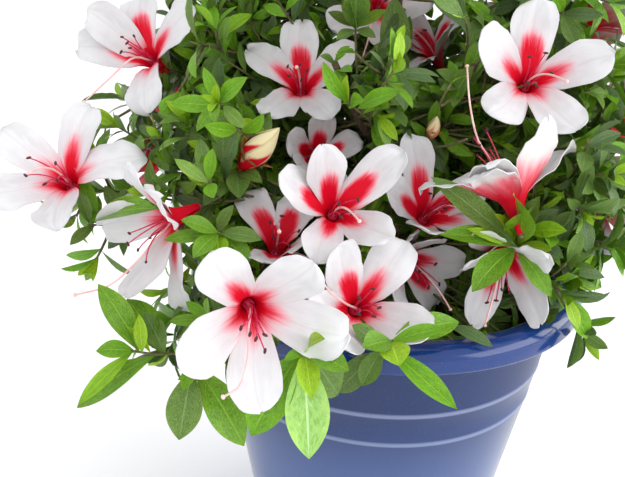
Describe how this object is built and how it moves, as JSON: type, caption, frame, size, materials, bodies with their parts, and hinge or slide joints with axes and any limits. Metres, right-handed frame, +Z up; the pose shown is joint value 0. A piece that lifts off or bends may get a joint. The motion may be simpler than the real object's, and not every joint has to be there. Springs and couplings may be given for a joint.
{
  "type": "potted azalea bonsai",
  "caption": "Rounded flowering azalea bonsai in bloom, with open funnel blooms and leathery leaves, in a tapering round plastic pot with a deep collar.",
  "frame": {"origin": "centre of the pot's flat underside", "axes": "+Z up along the pot's axis, -Y towards the plant's front, +X to the right as seen from the front"},
  "size_m": [0.3108, 0.2641, 0.3341],
  "materials": {
    "pot": "smooth blue plastic with a slight sheen",
    "soil": "moist dark potting soil",
    "bark": "rough brown bark",
    "foliage": "dark and lime green leaves with white blooms, crimson in the throat"
  },
  "bodies": {
    "root": {"pot": "pot", "soil": "soil", "trunk": "bark", "bough_front": "bark", "bough_front_right": "bark", "bough_right": "bark", "bough_back_right": "bark", "bough_back": "bark", "bough_back_left": "bark", "bough_left": "bark", "bough_front_left": "bark", "bough_upper_front_right": "bark", "bough_upper_right": "bark", "bough_upper_back": "bark", "bough_upper_left": "bark", "bough_upper_front_left": "bark", "bough_top": "bark", "foliage_front": "foliage", "foliage_front_right": "foliage", "foliage_right": "foliage", "foliage_back_right": "foliage", "foliage_back": "foliage", "foliage_back_left": "foliage", "foliage_left": "foliage", "foliage_front_left": "foliage", "foliage_upper_front_right": "foliage", "foliage_upper_right": "foliage", "foliage_upper_back": "foliage", "foliage_upper_left": "foliage", "foliage_upper_front_left": "foliage", "foliage_top": "foliage"}
  },
  "joints": []
}
